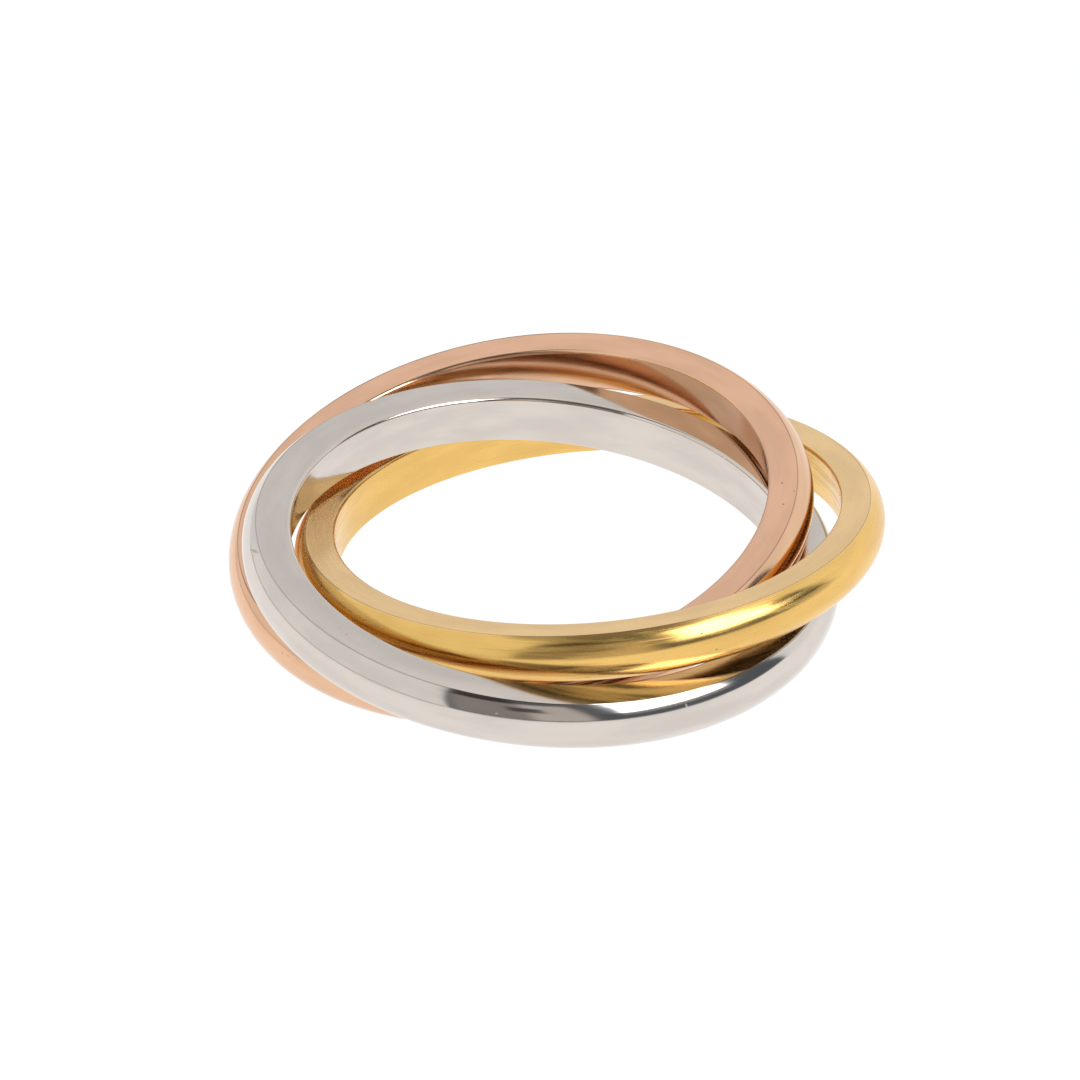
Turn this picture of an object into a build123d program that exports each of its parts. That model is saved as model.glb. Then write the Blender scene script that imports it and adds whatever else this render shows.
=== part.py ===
"""A finger ring of three linked bands, one steel, one yellow gold and one rose gold, lying at rest.

Each band is a plain hoop with a flat bore wall, two flat sides and a domed outside. Every band passes
through the other two, over each of them once and under it once. They lie on their sides on the plane
Z = 0, each with one side low on that plane and the other side raised by the bands beneath it.
The origin is under the middle of the group. +X is to the viewer's right and +Y is away.
"""
from build123d import *
import os
from collections import namedtuple
from math import asin, cos, radians, sin, sqrt

# Driving sizes of the bands, in millimetres. The steel band is a little heavier than the coloured two.
steel_bore_diameter = 19.1          # across the steel band's flat bore wall
steel_band_width = 1.98             # from flat side to flat side, along the finger
steel_flat_side_depth = 1.34        # from the bore wall out to the line where the dome begins
steel_crown_height = 0.45           # how far the dome swells out beyond the flat sides
coloured_bore_extra = 0.15          # how much wider the bores of the thinner yellow and rose gold bands are
coloured_band_width = 1.88          # the yellow and the rose gold band from flat side to flat side
coloured_flat_side_depth = 1.135    # and from their bore wall out to the line where the dome begins
coloured_crown_height = 0.49        # and how far their dome swells out
inner_edge_radius = 0.14            # rounded edge between a bore wall and each flat side
running_gap = 0.06                  # room left between two bands where they cross

# The bands are made to one ring size, so a change of the steel bore is a change of all three
coloured_bore_diameter = steel_bore_diameter + coloured_bore_extra

Section = namedtuple("Section", "bore_diameter width flat_side_depth crown_height")
STEEL = Section(steel_bore_diameter, steel_band_width, steel_flat_side_depth, steel_crown_height)
COLOURED = Section(
    coloured_bore_diameter, coloured_band_width, coloured_flat_side_depth, coloured_crown_height
)

# The room that one band takes where it crosses another, up and outwards
room_up = (STEEL.width + COLOURED.width) / 2 + running_gap
room_out = (
    STEEL.flat_side_depth + STEEL.crown_height + COLOURED.flat_side_depth + COLOURED.crown_height
) / 2 + running_gap

# How each band lies. high_side is the direction, in degrees from +X towards +Y, in which it is raised.
# rise is how far that side stands above the band's middle, as a share of room_up.
# aside and away push the band along X and Y, as shares of room_out.
Lie = namedtuple("Lie", "node section high_side rise aside away")
LIES = [
    Lie("steel_band", STEEL, high_side=167, rise=0.73, aside=-0.22, away=-0.85),
    Lie("yellow_gold_band", COLOURED, high_side=279, rise=0.69, aside=0.85, away=0.16),
    Lie("rose_gold_band", COLOURED, high_side=42, rise=0.715, aside=-0.61, away=0.68),
]


def dome_start(section):
    """The radius at which a band's flat sides end and its dome begins."""
    return section.bore_diameter / 2 + section.flat_side_depth


def dome_arc(section):
    """The radius of the arc that the dome follows in the section."""
    return ((section.width / 2) ** 2 + section.crown_height**2) / (2 * section.crown_height)


def make_band(section):
    """A band about the Z axis, turned from a section with a flat wall, flat sides and a domed outside."""
    bore_radius = section.bore_diameter / 2
    half_width = section.width / 2
    edge = min(inner_edge_radius, half_width / 2, section.flat_side_depth / 2)
    with BuildSketch(Plane.XZ) as profile:
        with BuildLine() as outline:
            Polyline(
                (dome_start(section), half_width),
                (bore_radius, half_width),
                (bore_radius, -half_width),
                (dome_start(section), -half_width),
            )
            ThreePointArc(
                (dome_start(section), -half_width),
                (dome_start(section) + section.crown_height, 0),
                (dome_start(section), half_width),
            )
        make_face()
        inner_corners = profile.vertices().sort_by(Axis.X)[:2]
        fillet(inner_corners, edge)
    return revolve(profile.sketch, Axis.Z)


def band_axis(lie):
    """The direction that the band turns about: upright, leaning away from the raised side."""
    thickness = lie.section.flat_side_depth + lie.section.crown_height
    lean = asin(lie.rise * room_up / (lie.section.bore_diameter / 2 + thickness / 2))
    turn = radians(lie.high_side)
    return Vector(-sin(lean) * cos(turn), -sin(lean) * sin(turn), cos(lean))


def reach(lie, direction):
    """How far a band as it lies reaches from its middle in a direction."""
    along = abs(band_axis(lie).dot(direction))
    across = sqrt(1 - along**2)
    arc = dome_arc(lie.section)
    if along * arc > lie.section.width / 2:
        return dome_start(lie.section) * across + lie.section.width / 2 * along
    return (dome_start(lie.section) + lie.section.crown_height - arc) * across + arc


def band_middle(lie):
    """The band's middle, before the group is centred, with its lowest point on the plane Z = 0."""
    return Vector(lie.aside * room_out, lie.away * room_out, reach(lie, Vector(0, 0, 1)))


def group_middle(direction):
    """The middle of what all the bands cover along a level direction, as a shift along it."""
    highest = max(band_middle(lie).dot(direction) + reach(lie, direction) for lie in LIES)
    lowest = min(band_middle(lie).dot(direction) - reach(lie, direction) for lie in LIES)
    return direction * ((highest + lowest) / 2)


os.makedirs("parts", exist_ok=True)
centre = group_middle(Vector(1, 0, 0)) + group_middle(Vector(0, 1, 0))
for lie in LIES:
    place = Plane(origin=band_middle(lie) - centre, z_dir=band_axis(lie))
    band = place.location * make_band(lie.section)
    band.label = lie.node
    export_step(band, f"parts/{lie.node}.step")
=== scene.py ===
"""A finger ring of three linked bands, steel, yellow gold and rose gold, lying on a pale table."""
import math
from collections import namedtuple

import bmesh
import bpy
from mathutils import Matrix, Quaternion, Vector


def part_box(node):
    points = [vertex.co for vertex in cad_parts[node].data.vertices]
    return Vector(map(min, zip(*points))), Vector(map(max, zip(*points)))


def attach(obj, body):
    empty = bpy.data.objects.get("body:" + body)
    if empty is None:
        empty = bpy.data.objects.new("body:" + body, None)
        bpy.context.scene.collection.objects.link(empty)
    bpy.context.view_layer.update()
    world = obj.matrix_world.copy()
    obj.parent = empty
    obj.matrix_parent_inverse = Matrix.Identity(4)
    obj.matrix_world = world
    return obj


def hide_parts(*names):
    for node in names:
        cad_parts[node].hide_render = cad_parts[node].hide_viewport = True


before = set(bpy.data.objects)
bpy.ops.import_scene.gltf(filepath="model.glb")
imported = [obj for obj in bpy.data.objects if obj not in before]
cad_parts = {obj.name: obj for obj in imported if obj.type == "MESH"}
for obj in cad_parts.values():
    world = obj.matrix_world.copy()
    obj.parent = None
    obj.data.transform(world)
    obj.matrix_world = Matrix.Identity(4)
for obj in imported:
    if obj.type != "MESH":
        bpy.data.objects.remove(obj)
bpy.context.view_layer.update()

# The steel band: a hoop turned from one bar of stainless steel, its flat sides faced and its outside
# domed, then buffed on a wheel. A fine line is left all round where the dome meets each flat side.

MM = 0.001
inner_edge_radius = 0.14
flat_side_bulge = 0.006
dome_line_width = 0.045
dome_line_depth = 0.025
dome_steps = 20
flat_steps = 8
edge_steps = 12
turn_steps = 720
support = 0.02
same_point = 0.0001
sharpest_smooth_edge = math.radians(16)
Section = namedtuple("Section", "bore_radius half_width flat_side_depth crown_height")
steel_section = Section(9.55, 0.99, 1.34, 0.45)


def lie_of(node):
    """Where a band lies: the middle of it, and the turn that lays its axis from upright to its own lean."""
    low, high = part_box(node)
    axis = Vector((0, 0, 1))
    for likeness in (0.9, 0.999, 0.9999):
        faces = [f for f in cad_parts[node].data.polygons if f.normal.dot(axis) > likeness]
        axis = sum((f.normal * f.area for f in faces), Vector()).normalized()
    return (low + high) / 2, Vector((0, 0, 1)).rotation_difference(axis)


def arc(bm, start, middle, angle, steps):
    """Draws an arc in the section's plane from a vertex, about a point, and gives the arc's last vertex."""
    drawn = bmesh.ops.spin(
        bm, geom=[start], cent=(middle[0], 0, middle[1]), axis=(0, 1, 0), angle=angle, steps=steps,
    )
    return [v for v in drawn["geom_last"] if isinstance(v, bmesh.types.BMVert)][0]


def turn_band(name, node, section):
    """A band turned from half its section, mirrored, as one closed mesh, set where the CAD band lies."""
    bm = bmesh.new()
    bore_radius, half_width, flat_side_depth, crown_height = section
    line_middle = bore_radius + flat_side_depth
    dome_radius = (half_width**2 + crown_height**2) / (2 * crown_height)
    dome_middle = line_middle + crown_height - dome_radius
    lip = line_middle + dome_line_width / 2
    crown = bm.verts.new((dome_middle + dome_radius, 0, 0))
    outer_lip = arc(bm, crown, (dome_middle, 0), -math.acos((lip - dome_middle) / dome_radius), dome_steps)
    groove = bm.verts.new((line_middle, 0, half_width - dome_line_depth))
    flat_end = bm.verts.new((line_middle - dome_line_width / 2, 0, half_width - flat_side_bulge))
    flat_start = bore_radius + inner_edge_radius
    flat_half = (flat_end.co.x - flat_start) / 2
    flat_radius = (flat_half**2 + flat_side_bulge**2) / (2 * flat_side_bulge)
    flat_middle = (flat_start + flat_half, half_width - flat_radius)
    inner = arc(bm, flat_end, flat_middle, -2 * math.asin(flat_half / flat_radius), flat_steps)
    edge_middle = (flat_start, inner.co.z - inner_edge_radius)
    bore_end = arc(bm, inner, edge_middle, -math.pi / 2, edge_steps)
    bore_support = bm.verts.new((bore_radius, 0, bore_end.co.z - support))
    bore_middle = bm.verts.new((bore_radius, 0, 0))
    for start, end in (
        (outer_lip, groove), (groove, flat_end), (bore_end, bore_support), (bore_support, bore_middle),
    ):
        bm.edges.new((start, end))
    bmesh.ops.mirror(bm, geom=bm.verts[:] + bm.edges[:], matrix=Matrix(), merge_dist=same_point, axis="Z")
    bmesh.ops.spin(
        bm, geom=bm.verts[:] + bm.edges[:], cent=(0, 0, 0), axis=(0, 0, 1),
        angle=math.pi / 2, steps=turn_steps // 4,
    )
    for axis in "XY":
        whole = bm.verts[:] + bm.edges[:] + bm.faces[:]
        bmesh.ops.mirror(bm, geom=whole, matrix=Matrix(), merge_dist=same_point, axis=axis)
    bmesh.ops.remove_doubles(bm, verts=bm.verts, dist=same_point)
    bmesh.ops.recalc_face_normals(bm, faces=bm.faces)
    for face in bm.faces:
        face.smooth = True
    for edge in bm.edges:
        edge.smooth = edge.calc_face_angle() < sharpest_smooth_edge
    middle, lean = lie_of(node)
    place = Matrix.Translation(middle) @ lean.to_matrix().to_4x4() @ Matrix.Scale(MM, 4)
    bmesh.ops.transform(bm, matrix=place, verts=bm.verts)
    mesh = bpy.data.meshes.new(name)
    bm.to_mesh(mesh)
    bm.free()
    band = bpy.data.objects.new(name, mesh)
    bpy.context.scene.collection.objects.link(band)
    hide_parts(node)
    return band


def linear(hex_colour):
    """An sRGB hex colour as the linear numbers that a shader takes."""
    shares = [int(hex_colour[i : i + 2], 16) / 255 for i in (1, 3, 5)]
    return [s / 12.92 if s <= 0.04045 else ((s + 0.055) / 1.055) ** 2.4 for s in shares] + [1]


def add_node(tree, kind, settings, inputs):
    """Adds a node with its settings. Its inputs are numbers, colours, or the outputs that feed them."""
    node = tree.nodes.new("ShaderNode" + kind)
    for name, value in settings.items():
        setattr(node, name, value)
    for key, value in inputs.items():
        if isinstance(value, bpy.types.NodeSocket):
            tree.links.new(value, node.inputs[key])
        else:
            node.inputs[key].default_value = value
    return node


# Each metal has a colour for its dome and one for its flat sides, set to how the sides look in the studio's
# light: painted light and shade on one metal.
Metal = namedtuple("Metal", "name dome_colour side_colour roughness haze wear")
# A mark is a small dent: its place on the band, its size and turn, its depth, and how far its colour is
# pulled toward the dark tint.
Mark = namedtuple("Mark", "bearing radius height length width turn lift depth dirt")


def polished_metal(metal, node, section, marks):
    """A turned and buffed metal, with its patterns laid round the band's own axis in millimetres."""
    material = bpy.data.materials.new(metal.name)
    material.use_nodes = True
    tree = material.node_tree
    tree.nodes.clear()
    middle, lean = lie_of(node)
    place = add_node(tree, "TexCoord", {}, {})
    in_band = add_node(
        tree, "Mapping", {"vector_type": "TEXTURE"},
        {
            "Vector": place.outputs["Object"], "Location": middle, "Rotation": lean.to_euler(),
            "Scale": (MM, MM, MM),
        },
    )
    flat = add_node(tree, "VectorMath", {"operation": "MULTIPLY"}, {0: in_band.outputs[0], 1: (1, 1, 0)})
    radius = add_node(tree, "VectorMath", {"operation": "LENGTH"}, {0: flat.outputs[0]})
    around = add_node(tree, "VectorMath", {"operation": "NORMALIZE"}, {0: flat.outputs[0]})
    height = add_node(tree, "SeparateXYZ", {}, {0: in_band.outputs[0]})

    def rubbed(length, width, detail):
        """Noise drawn out along the way the buffing wheel ran, its marks of that length and width in mm."""
        run = add_node(
            tree, "VectorMath", {"operation": "SCALE"},
            {0: around.outputs[0], "Scale": pattern_radius / length},
        )
        across = add_node(tree, "Math", {"operation": "DIVIDE"}, {0: height.outputs["Z"], 1: width})
        lift = add_node(tree, "CombineXYZ", {}, {"Z": across.outputs[0]})
        spot = add_node(tree, "VectorMath", {"operation": "ADD"}, {0: run.outputs[0], 1: lift.outputs[0]})
        out = add_node(tree, "Math", {"operation": "DIVIDE"}, {0: radius.outputs["Value"], 1: width})
        return add_node(
            tree, "TexNoise", {"noise_dimensions": "4D"},
            {"Vector": spot.outputs[0], "W": out.outputs[0], "Scale": 1, "Detail": detail, "Roughness": 0.5},
        ).outputs[0]

    def ramp(value, low, high, start, end):
        """The value, moved from one range to another with soft ends."""
        return add_node(
            tree, "MapRange", {"interpolation_type": "SMOOTHSTEP"},
            {"Value": value, "From Min": low, "From Max": high, "To Min": start, "To Max": end},
        ).outputs[0]

    hairlines = rubbed(hairline_length, hairline_width, 2)
    ripples = rubbed(ripple_length, ripple_width, 1)
    grain = rubbed(grain_length, grain_width, 2)
    clouds = rubbed(cloud_length, cloud_width, 3)
    relief = add_node(tree, "Math", {"operation": "MULTIPLY"}, {0: hairlines, 1: hairline_depth * metal.wear})
    for pattern, depth in ((ripples, ripple_depth), (grain, grain_depth)):
        relief = add_node(
            tree, "Math", {"operation": "MULTIPLY_ADD"},
            {0: pattern, 1: depth * metal.wear, 2: relief.outputs[0]},
        )
    # The colour is pulled toward a dark tint along the fine dome line: painted shade in its groove.
    line_radius = section.bore_radius + section.flat_side_depth
    off_line = add_node(tree, "Math", {"operation": "SUBTRACT"}, {0: radius.outputs["Value"], 1: line_radius})
    from_line = add_node(tree, "Math", {"operation": "ABSOLUTE"}, {0: off_line.outputs[0]})
    groove_shade_and_mark_darkness = ramp(from_line.outputs[0], line_core, line_fade, groove_shade, 0)
    for mark in marks:
        bearing = math.radians(mark.bearing)
        spot = Vector((mark.radius * math.cos(bearing), mark.radius * math.sin(bearing), mark.height))
        off = add_node(
            tree, "Mapping", {"vector_type": "TEXTURE"},
            {
                "Vector": in_band.outputs[0], "Location": spot,
                "Rotation": (0, math.radians(mark.lift), bearing + math.radians(90 + mark.turn)),
                "Scale": (mark.length / 2, mark.width / 2, mark.width / 2),
            },
        )
        distance = add_node(tree, "VectorMath", {"operation": "LENGTH"}, {0: off.outputs[0]})
        here = ramp(distance.outputs["Value"], 0.3, 1, 1, 0)
        relief = add_node(
            tree, "Math", {"operation": "MULTIPLY_ADD"}, {0: here, 1: -mark.depth, 2: relief.outputs[0]},
        )
        groove_shade_and_mark_darkness = add_node(
            tree, "Math", {"operation": "MULTIPLY_ADD"}, {0: here, 1: mark.dirt, 2: groove_shade_and_mark_darkness},
        ).outputs[0]
    bump = add_node(tree, "Bump", {}, {"Height": relief.outputs[0], "Distance": MM, "Strength": 1})
    up = add_node(tree, "Math", {"operation": "ABSOLUTE"}, {0: height.outputs["Z"]})
    on_side = ramp(up.outputs[0], section.half_width - side_fade, section.half_width - side_core, 0, 1)
    # The flat sides get their own colour: painted light on the yellow band's sides, painted shade on the
    # others.
    colour_with_lit_sides = add_node(
        tree, "Mix", {"data_type": "RGBA"},
        {"Factor": on_side, 6: linear(metal.dome_colour), 7: linear(metal.side_colour)},
    )
    dulled = add_node(
        tree, "Mix", {"data_type": "RGBA", "blend_type": "MULTIPLY"},
        {"Factor": ramp(clouds, 0.35, 0.65, 0, cloud_darkening), 6: colour_with_lit_sides.outputs[2], 7: (0, 0, 0, 1)},
    )
    tint = add_node(
        tree, "Mix", {"data_type": "RGBA"}, {"Factor": groove_shade_and_mark_darkness, 6: dulled.outputs[2], 7: linear(groove_shade_and_mark_tint)},
    )
    streaks = rubbed(streak_length, streak_width, 2)
    scuffed = ramp(streaks, 0.4, 0.65, metal.roughness, metal.roughness + metal.haze)
    polished = ramp(clouds, 0.3, 0.7, metal.roughness, metal.roughness + cloud_haze)
    gloss = add_node(tree, "Math", {"operation": "MAXIMUM"}, {0: scuffed, 1: polished})
    surface = add_node(
        tree, "BsdfPrincipled", {},
        {
            "Base Color": tint.outputs[2], "Metallic": 1,
            "Roughness": gloss.outputs[0], "Normal": bump.outputs[0],
        },
    )
    add_node(tree, "OutputMaterial", {}, {0: surface.outputs[0]})
    return material


# Wear of the buffed metal, in mm. The real hairlines are about 0.01 mm wide and the grain is finer still,
# too fine to show, so both are drawn as coarse as they need to be seen. The ripples are what is left of the
# turning, and bend the reflections a little. Clouds and streaks are where the gloss is worn. Lengths hold
# at the pattern radius, which is about the middle of each band.
pattern_radius = 10
hairline_length = 3.0
hairline_width = 0.05
hairline_depth = 0.0003
ripple_length = 1.5
ripple_width = 0.4
ripple_depth = 0.0015
grain_length = 0.16
grain_width = 0.1
grain_depth = 0.00006
cloud_length = 3.0
cloud_width = 0.8
cloud_darkening = 0.1
cloud_haze = 0.05
streak_length = 2.0
streak_width = 0.12
# A dark tint, and how far the colour along the fine dome line is pulled toward it: painted shade in the
# line's groove. The marks are pulled toward the same tint.
groove_shade_and_mark_tint = "#5A4636"
groove_shade = 0.35
line_core = 0.01
line_fade = 0.03
side_core = 0.02
side_fade = 0.05

steel_marks = [
    Mark(-171.5, 11.03, 0.8, 0.9, 0.2, 18, -20, 0.003, 0.4),
    Mark(-140.5, 11.32, 0.21, 0.35, 0.12, 0, 10, 0.005, 0.05),
    Mark(-133.1, 11.33, 0.17, 0.3, 0.1, 0, -20, 0.005, 0.05),
    Mark(-136.9, 10.36, 0.99, 0.1, 0.1, 0, 0, 0.004, 0.5),
    Mark(-139.5, 10.3, 0.99, 0.08, 0.08, 0, 0, 0.004, 0.4),
    Mark(-63.2, 11.19, 0.58, 0.3, 0.07, 0, 70, 0.012, 0),
    Mark(-100.5, 11.23, 0.51, 0.09, 0.09, 0, 0, 0.006, 0.3),
]
steel = turn_band("steel_band_polished", "steel_band", steel_section)
# Buffed stainless steel: a cool, nearly white mirror that takes on its surroundings, softened by fine wear.
# The second colour, for the flat sides, is a little darker: painted shade.
steel_metal = Metal("stainless_steel_buffed", "#DCD3CB", "#D6CCC1", 0.08, 0.02, 1)
steel.data.materials.append(polished_metal(steel_metal, "steel_band", steel_section, steel_marks))
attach(steel, "steel")

# The yellow gold band: turned like the steel one but a little lighter, of steel under a thin coat of
# yellow gold colour, and buffed.

coloured_section = Section(9.625, 0.94, 1.135, 0.49)
yellow_marks = [
    Mark(-52.6, 11.06, 0.66, 0.7, 0.06, 0, 50, 0.01, 0),
    Mark(-66.8, 11.22, -0.28, 0.14, 0.12, 0, 0, 0.008, 0.5),
    Mark(-69.5, 11.16, 0.46, 0.12, 0.1, 0, 0, 0.008, 0.6),
    Mark(-136.2, 10.9, 0.94, 0.25, 0.1, 30, 0, 0.006, 0.4),
    Mark(-92.2, 11.06, -0.65, 0.12, 0.12, 0, 0, 0.008, 0.6),
]
yellow = turn_band("yellow_gold_band_polished", "yellow_gold_band", coloured_section)
# A yellow gold coat, buffed but the most worn of the three: warm and satin-like, its highlights spread in
# streaks along the band.
# The second colour, for the flat sides, is lighter and paler: painted light.
yellow_metal = Metal("yellow_gold_coat_buffed", "#F3C675", "#F8D093", 0.16, 0.15, 1.0)
yellow.data.materials.append(polished_metal(yellow_metal, "yellow_gold_band", coloured_section, yellow_marks))
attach(yellow, "yellow_gold")

# The rose gold band: turned like the yellow one, under a thin coat of rose gold colour, and buffed.

rose_marks = [
    Mark(-5.5, 10.17, 0.94, 0.13, 0.09, 60, 0, 0.008, 0.8),
    Mark(-8.5, 10.66, 0.94, 0.13, 0.07, 60, 0, 0.006, 0.6),
    Mark(-12.8, 10.34, 0.94, 0.12, 0.09, 70, 0, 0.008, 0.8),
    Mark(-146.0, 11.18, 0.40, 0.2, 0.08, 0, 30, 0.008, 0.3),
    Mark(-144.2, 11.17, 0.44, 0.16, 0.07, 0, 30, 0.008, 0.3),
    Mark(-142.4, 11.19, 0.39, 0.16, 0.09, 0, 0, 0.01, 0),
    Mark(-141.5, 11.12, 0.55, 0.12, 0.08, 0, 0, 0.01, 0),
]
rose = turn_band("rose_gold_band_polished", "rose_gold_band", coloured_section)
# A rose gold coat, buffed: a warm pink mirror, a little softer than the steel, with small pits.
# The second colour, for the flat sides, is a little darker: painted shade.
rose_metal = Metal("rose_gold_coat_buffed", "#EBBE9B", "#E5B898", 0.1, 0.05, 1.2)
rose.data.materials.append(polished_metal(rose_metal, "rose_gold_band", coloured_section, rose_marks))
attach(rose, "rose_gold")

# The table: a sheet of white acrylic lit from below, so that it is white to its edge and the ring throws
# no shadow on it. Its own light drowns out what falls on it, so it is given no colour of its own.

table_radius = 3
table_sides = 128
table_glow = 1.02
mesh = bpy.data.meshes.new("table")
bm = bmesh.new()
bmesh.ops.create_circle(bm, cap_ends=True, radius=table_radius, segments=table_sides)
bm.to_mesh(mesh)
bm.free()
table = bpy.data.objects.new("table", mesh)
bpy.context.scene.collection.objects.link(table)
acrylic = bpy.data.materials.new("white_acrylic_lit_from_below")
acrylic.use_nodes = True
acrylic.node_tree.nodes.clear()
sheet = add_node(
    acrylic.node_tree, "BsdfPrincipled", {},
    {
        "Base Color": (0, 0, 0, 1), "Roughness": 0.6, "Specular IOR Level": 0,
        "Emission Color": (1, 1, 1, 1), "Emission Strength": table_glow,
    },
)
add_node(acrylic.node_tree, "OutputMaterial", {}, {0: sheet.outputs[0]})
table.data.materials.append(acrylic)

# The studio: a pale tent round the table, open in front where the room is dark, with one soft lamp in
# the opening to the right. Each part of it is a patch of the sky, by bearing from +X and by height.

Patch = namedtuple("Patch", "name left right low high lean blur light")
STUDIO = [
    Patch("left wall", 132, 205, 1, 68, 0, 2, (0.90, 0.915, 0.91)),
    Patch("left wall", -205, -122, 1, 68, 0, 2, (0.90, 0.915, 0.91)),
    Patch("table edge", 130, 205, -1, 2.2, 0, 0.8, (0.55, 0.53, 0.52)),
    Patch("table edge", -205, -124, -1, 2.2, 0, 0.8, (0.45, 0.44, 0.43)),
    Patch("right wall", 11, 75, -90, 90, 0, 4, (0.96, 0.98, 0.98)),
    Patch("upper back wall", 55, 130, 37, 75, 0, 2, (0.94, 0.93, 0.94)),
    Patch("dark room", -122, 9, 1.5, 100, 0, 0.8, (0.10, 0.115, 0.13)),
    Patch("black cloth", -122, -91, 46, 100, 0, 5, (0.05, 0.045, 0.04)),
    Patch("upper right wall", -12, 60, 40, 75, 0, 4, (0.90, 0.90, 0.88)),
    Patch("ceiling", -200, 200, 70, 100, 0, 4, (0.22, 0.21, 0.20)),
    Patch("grey front", -119, -69, 4, 49, 0, 2.5, (0.30, 0.28, 0.27)),
    Patch("grey column", -90, -69, 4, 50, 0, 3, (0.60, 0.57, 0.54)),
    Patch("lens hole", -97, -83, 27, 39, 0, 1.5, (0.08, 0.08, 0.08)),
    Patch("lamp frame", -66, -54, 24, 60, 0.2, 2, (0.17, 0.22, 0.28)),
    Patch("lamp foot", -60.5, -16.5, 13, 26, 0.2, 2, (0.28, 0.29, 0.31)),
    Patch("lamp", -60.5, -18, 21.5, 61, 0.2, 1.5, (5, 5, 5)),
]
tent_light = (0.82, 0.84, 0.88, 1)
backdrop_light = (1, 1, 1, 1)
world = bpy.data.worlds.new("studio")
world.use_nodes = True
bpy.context.scene.world = world
sky = world.node_tree
sky.nodes.clear()
facing = add_node(sky, "SeparateXYZ", {}, {0: add_node(sky, "TexCoord", {}, {}).outputs["Generated"]})
bearing_radians = add_node(
    sky, "Math", {"operation": "ARCTAN2"}, {0: facing.outputs["Y"], 1: facing.outputs["X"]},
)
bearing = add_node(sky, "Math", {"operation": "DEGREES"}, {0: bearing_radians.outputs[0]})
height_radians = add_node(sky, "Math", {"operation": "ARCSINE"}, {0: facing.outputs["Z"]})
height = add_node(sky, "Math", {"operation": "DEGREES"}, {0: height_radians.outputs[0]})


def inside(value, low, high, blur):
    """1 where the value lies between two limits, and 0 outside them, with soft ends."""
    share = []
    for limit, before, after in ((low, 0, 1), (high, 1, 0)):
        share.append(add_node(
            sky, "MapRange", {"interpolation_type": "SMOOTHSTEP"},
            {
                "Value": value, "From Min": limit - blur, "From Max": limit + blur,
                "To Min": before, "To Max": after,
            },
        ))
    return add_node(sky, "Math", {"operation": "MULTIPLY"}, {0: share[0].outputs[0], 1: share[1].outputs[0]})


light = tent_light
for patch in STUDIO:
    leaning = add_node(
        sky, "Math", {"operation": "MULTIPLY_ADD"},
        {0: height.outputs[0], 1: -patch.lean, 2: bearing.outputs[0]},
    )
    wide = inside(leaning.outputs[0], patch.left, patch.right, patch.blur)
    tall = inside(height.outputs[0], patch.low, patch.high, patch.blur)
    share = add_node(sky, "Math", {"operation": "MULTIPLY"}, {0: wide.outputs[0], 1: tall.outputs[0]})
    light = add_node(
        sky, "Mix", {"data_type": "RGBA"}, {"Factor": share.outputs[0], 6: light, 7: (*patch.light, 1)},
    ).outputs[2]
seen = add_node(sky, "LightPath", {}, {})
shown = add_node(
    sky, "Mix", {"data_type": "RGBA"}, {"Factor": seen.outputs["Is Camera Ray"], 6: light, 7: backdrop_light},
)
background = add_node(sky, "Background", {}, {"Color": shown.outputs[2], "Strength": 1})
add_node(sky, "OutputWorld", {}, {0: background.outputs[0]})
bpy.context.scene.view_settings.view_transform = "Standard"

# The camera: a long lens, above the table by the photograph's angle and a little turned about its own line.

camera_elevation = math.radians(32.4)
camera_roll = math.radians(-3.47)
camera_distance = 390 * MM
camera_target = Vector((-0.616, 0.182, 2.452)) * MM
sensor_width = 36
frame_pixels = 1080
pixels_per_mm = 26.35

camera = bpy.data.objects.new("camera", bpy.data.cameras.new("camera"))
bpy.context.scene.collection.objects.link(camera)
bpy.context.scene.camera = camera
back = Vector((0, -math.cos(camera_elevation), math.sin(camera_elevation)))
camera.location = camera_target + back * camera_distance
camera.rotation_mode = "QUATERNION"
camera.rotation_quaternion = (-back).to_track_quat("-Z", "Y") @ Quaternion((0, 0, 1), camera_roll)
camera.data.sensor_width = sensor_width
camera.data.lens = pixels_per_mm * camera_distance / MM / frame_pixels * sensor_width
camera.data.clip_start = 0.01
camera.data.clip_end = 10
